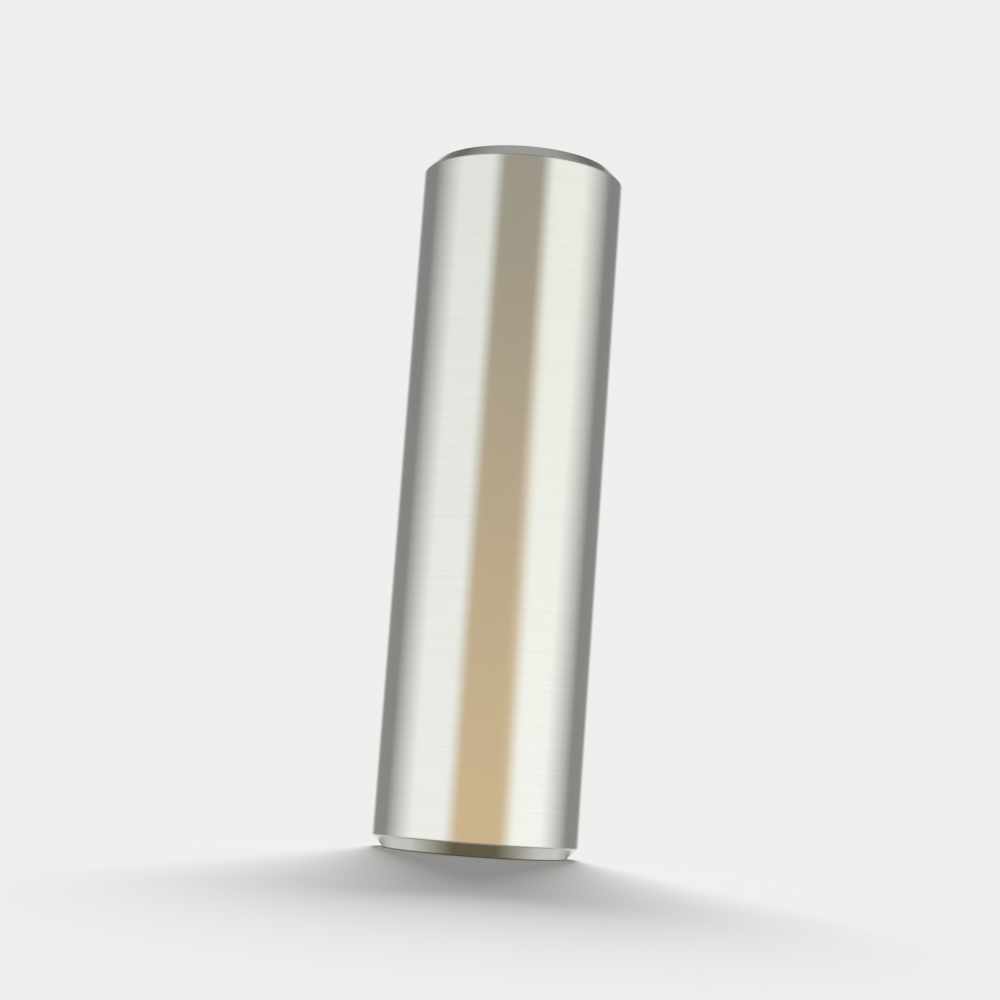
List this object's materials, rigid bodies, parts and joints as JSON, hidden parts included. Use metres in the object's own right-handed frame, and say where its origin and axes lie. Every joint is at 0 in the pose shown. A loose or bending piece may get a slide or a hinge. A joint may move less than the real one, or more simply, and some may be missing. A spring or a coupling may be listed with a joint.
{
  "type": "gudgeon pin",
  "caption": "Hollow round steel gudgeon pin with a ground outside, chamfered ends and a through bore, which joins a small engine's piston to its connecting rod.",
  "frame": {"origin": "middle of the lower end face, on the pin's axis", "axes": "+Z along the pin's axis, from the end face that it stands on to the other end; X and Y are alike"},
  "size_m": [0.01, 0.01, 0.034],
  "materials": {
    "ground_steel": "ground and polished journal, turned ends, plain drilled bore"
  },
  "bodies": {
    "root": {"gudgeon_pin": "ground_steel"}
  },
  "joints": []
}
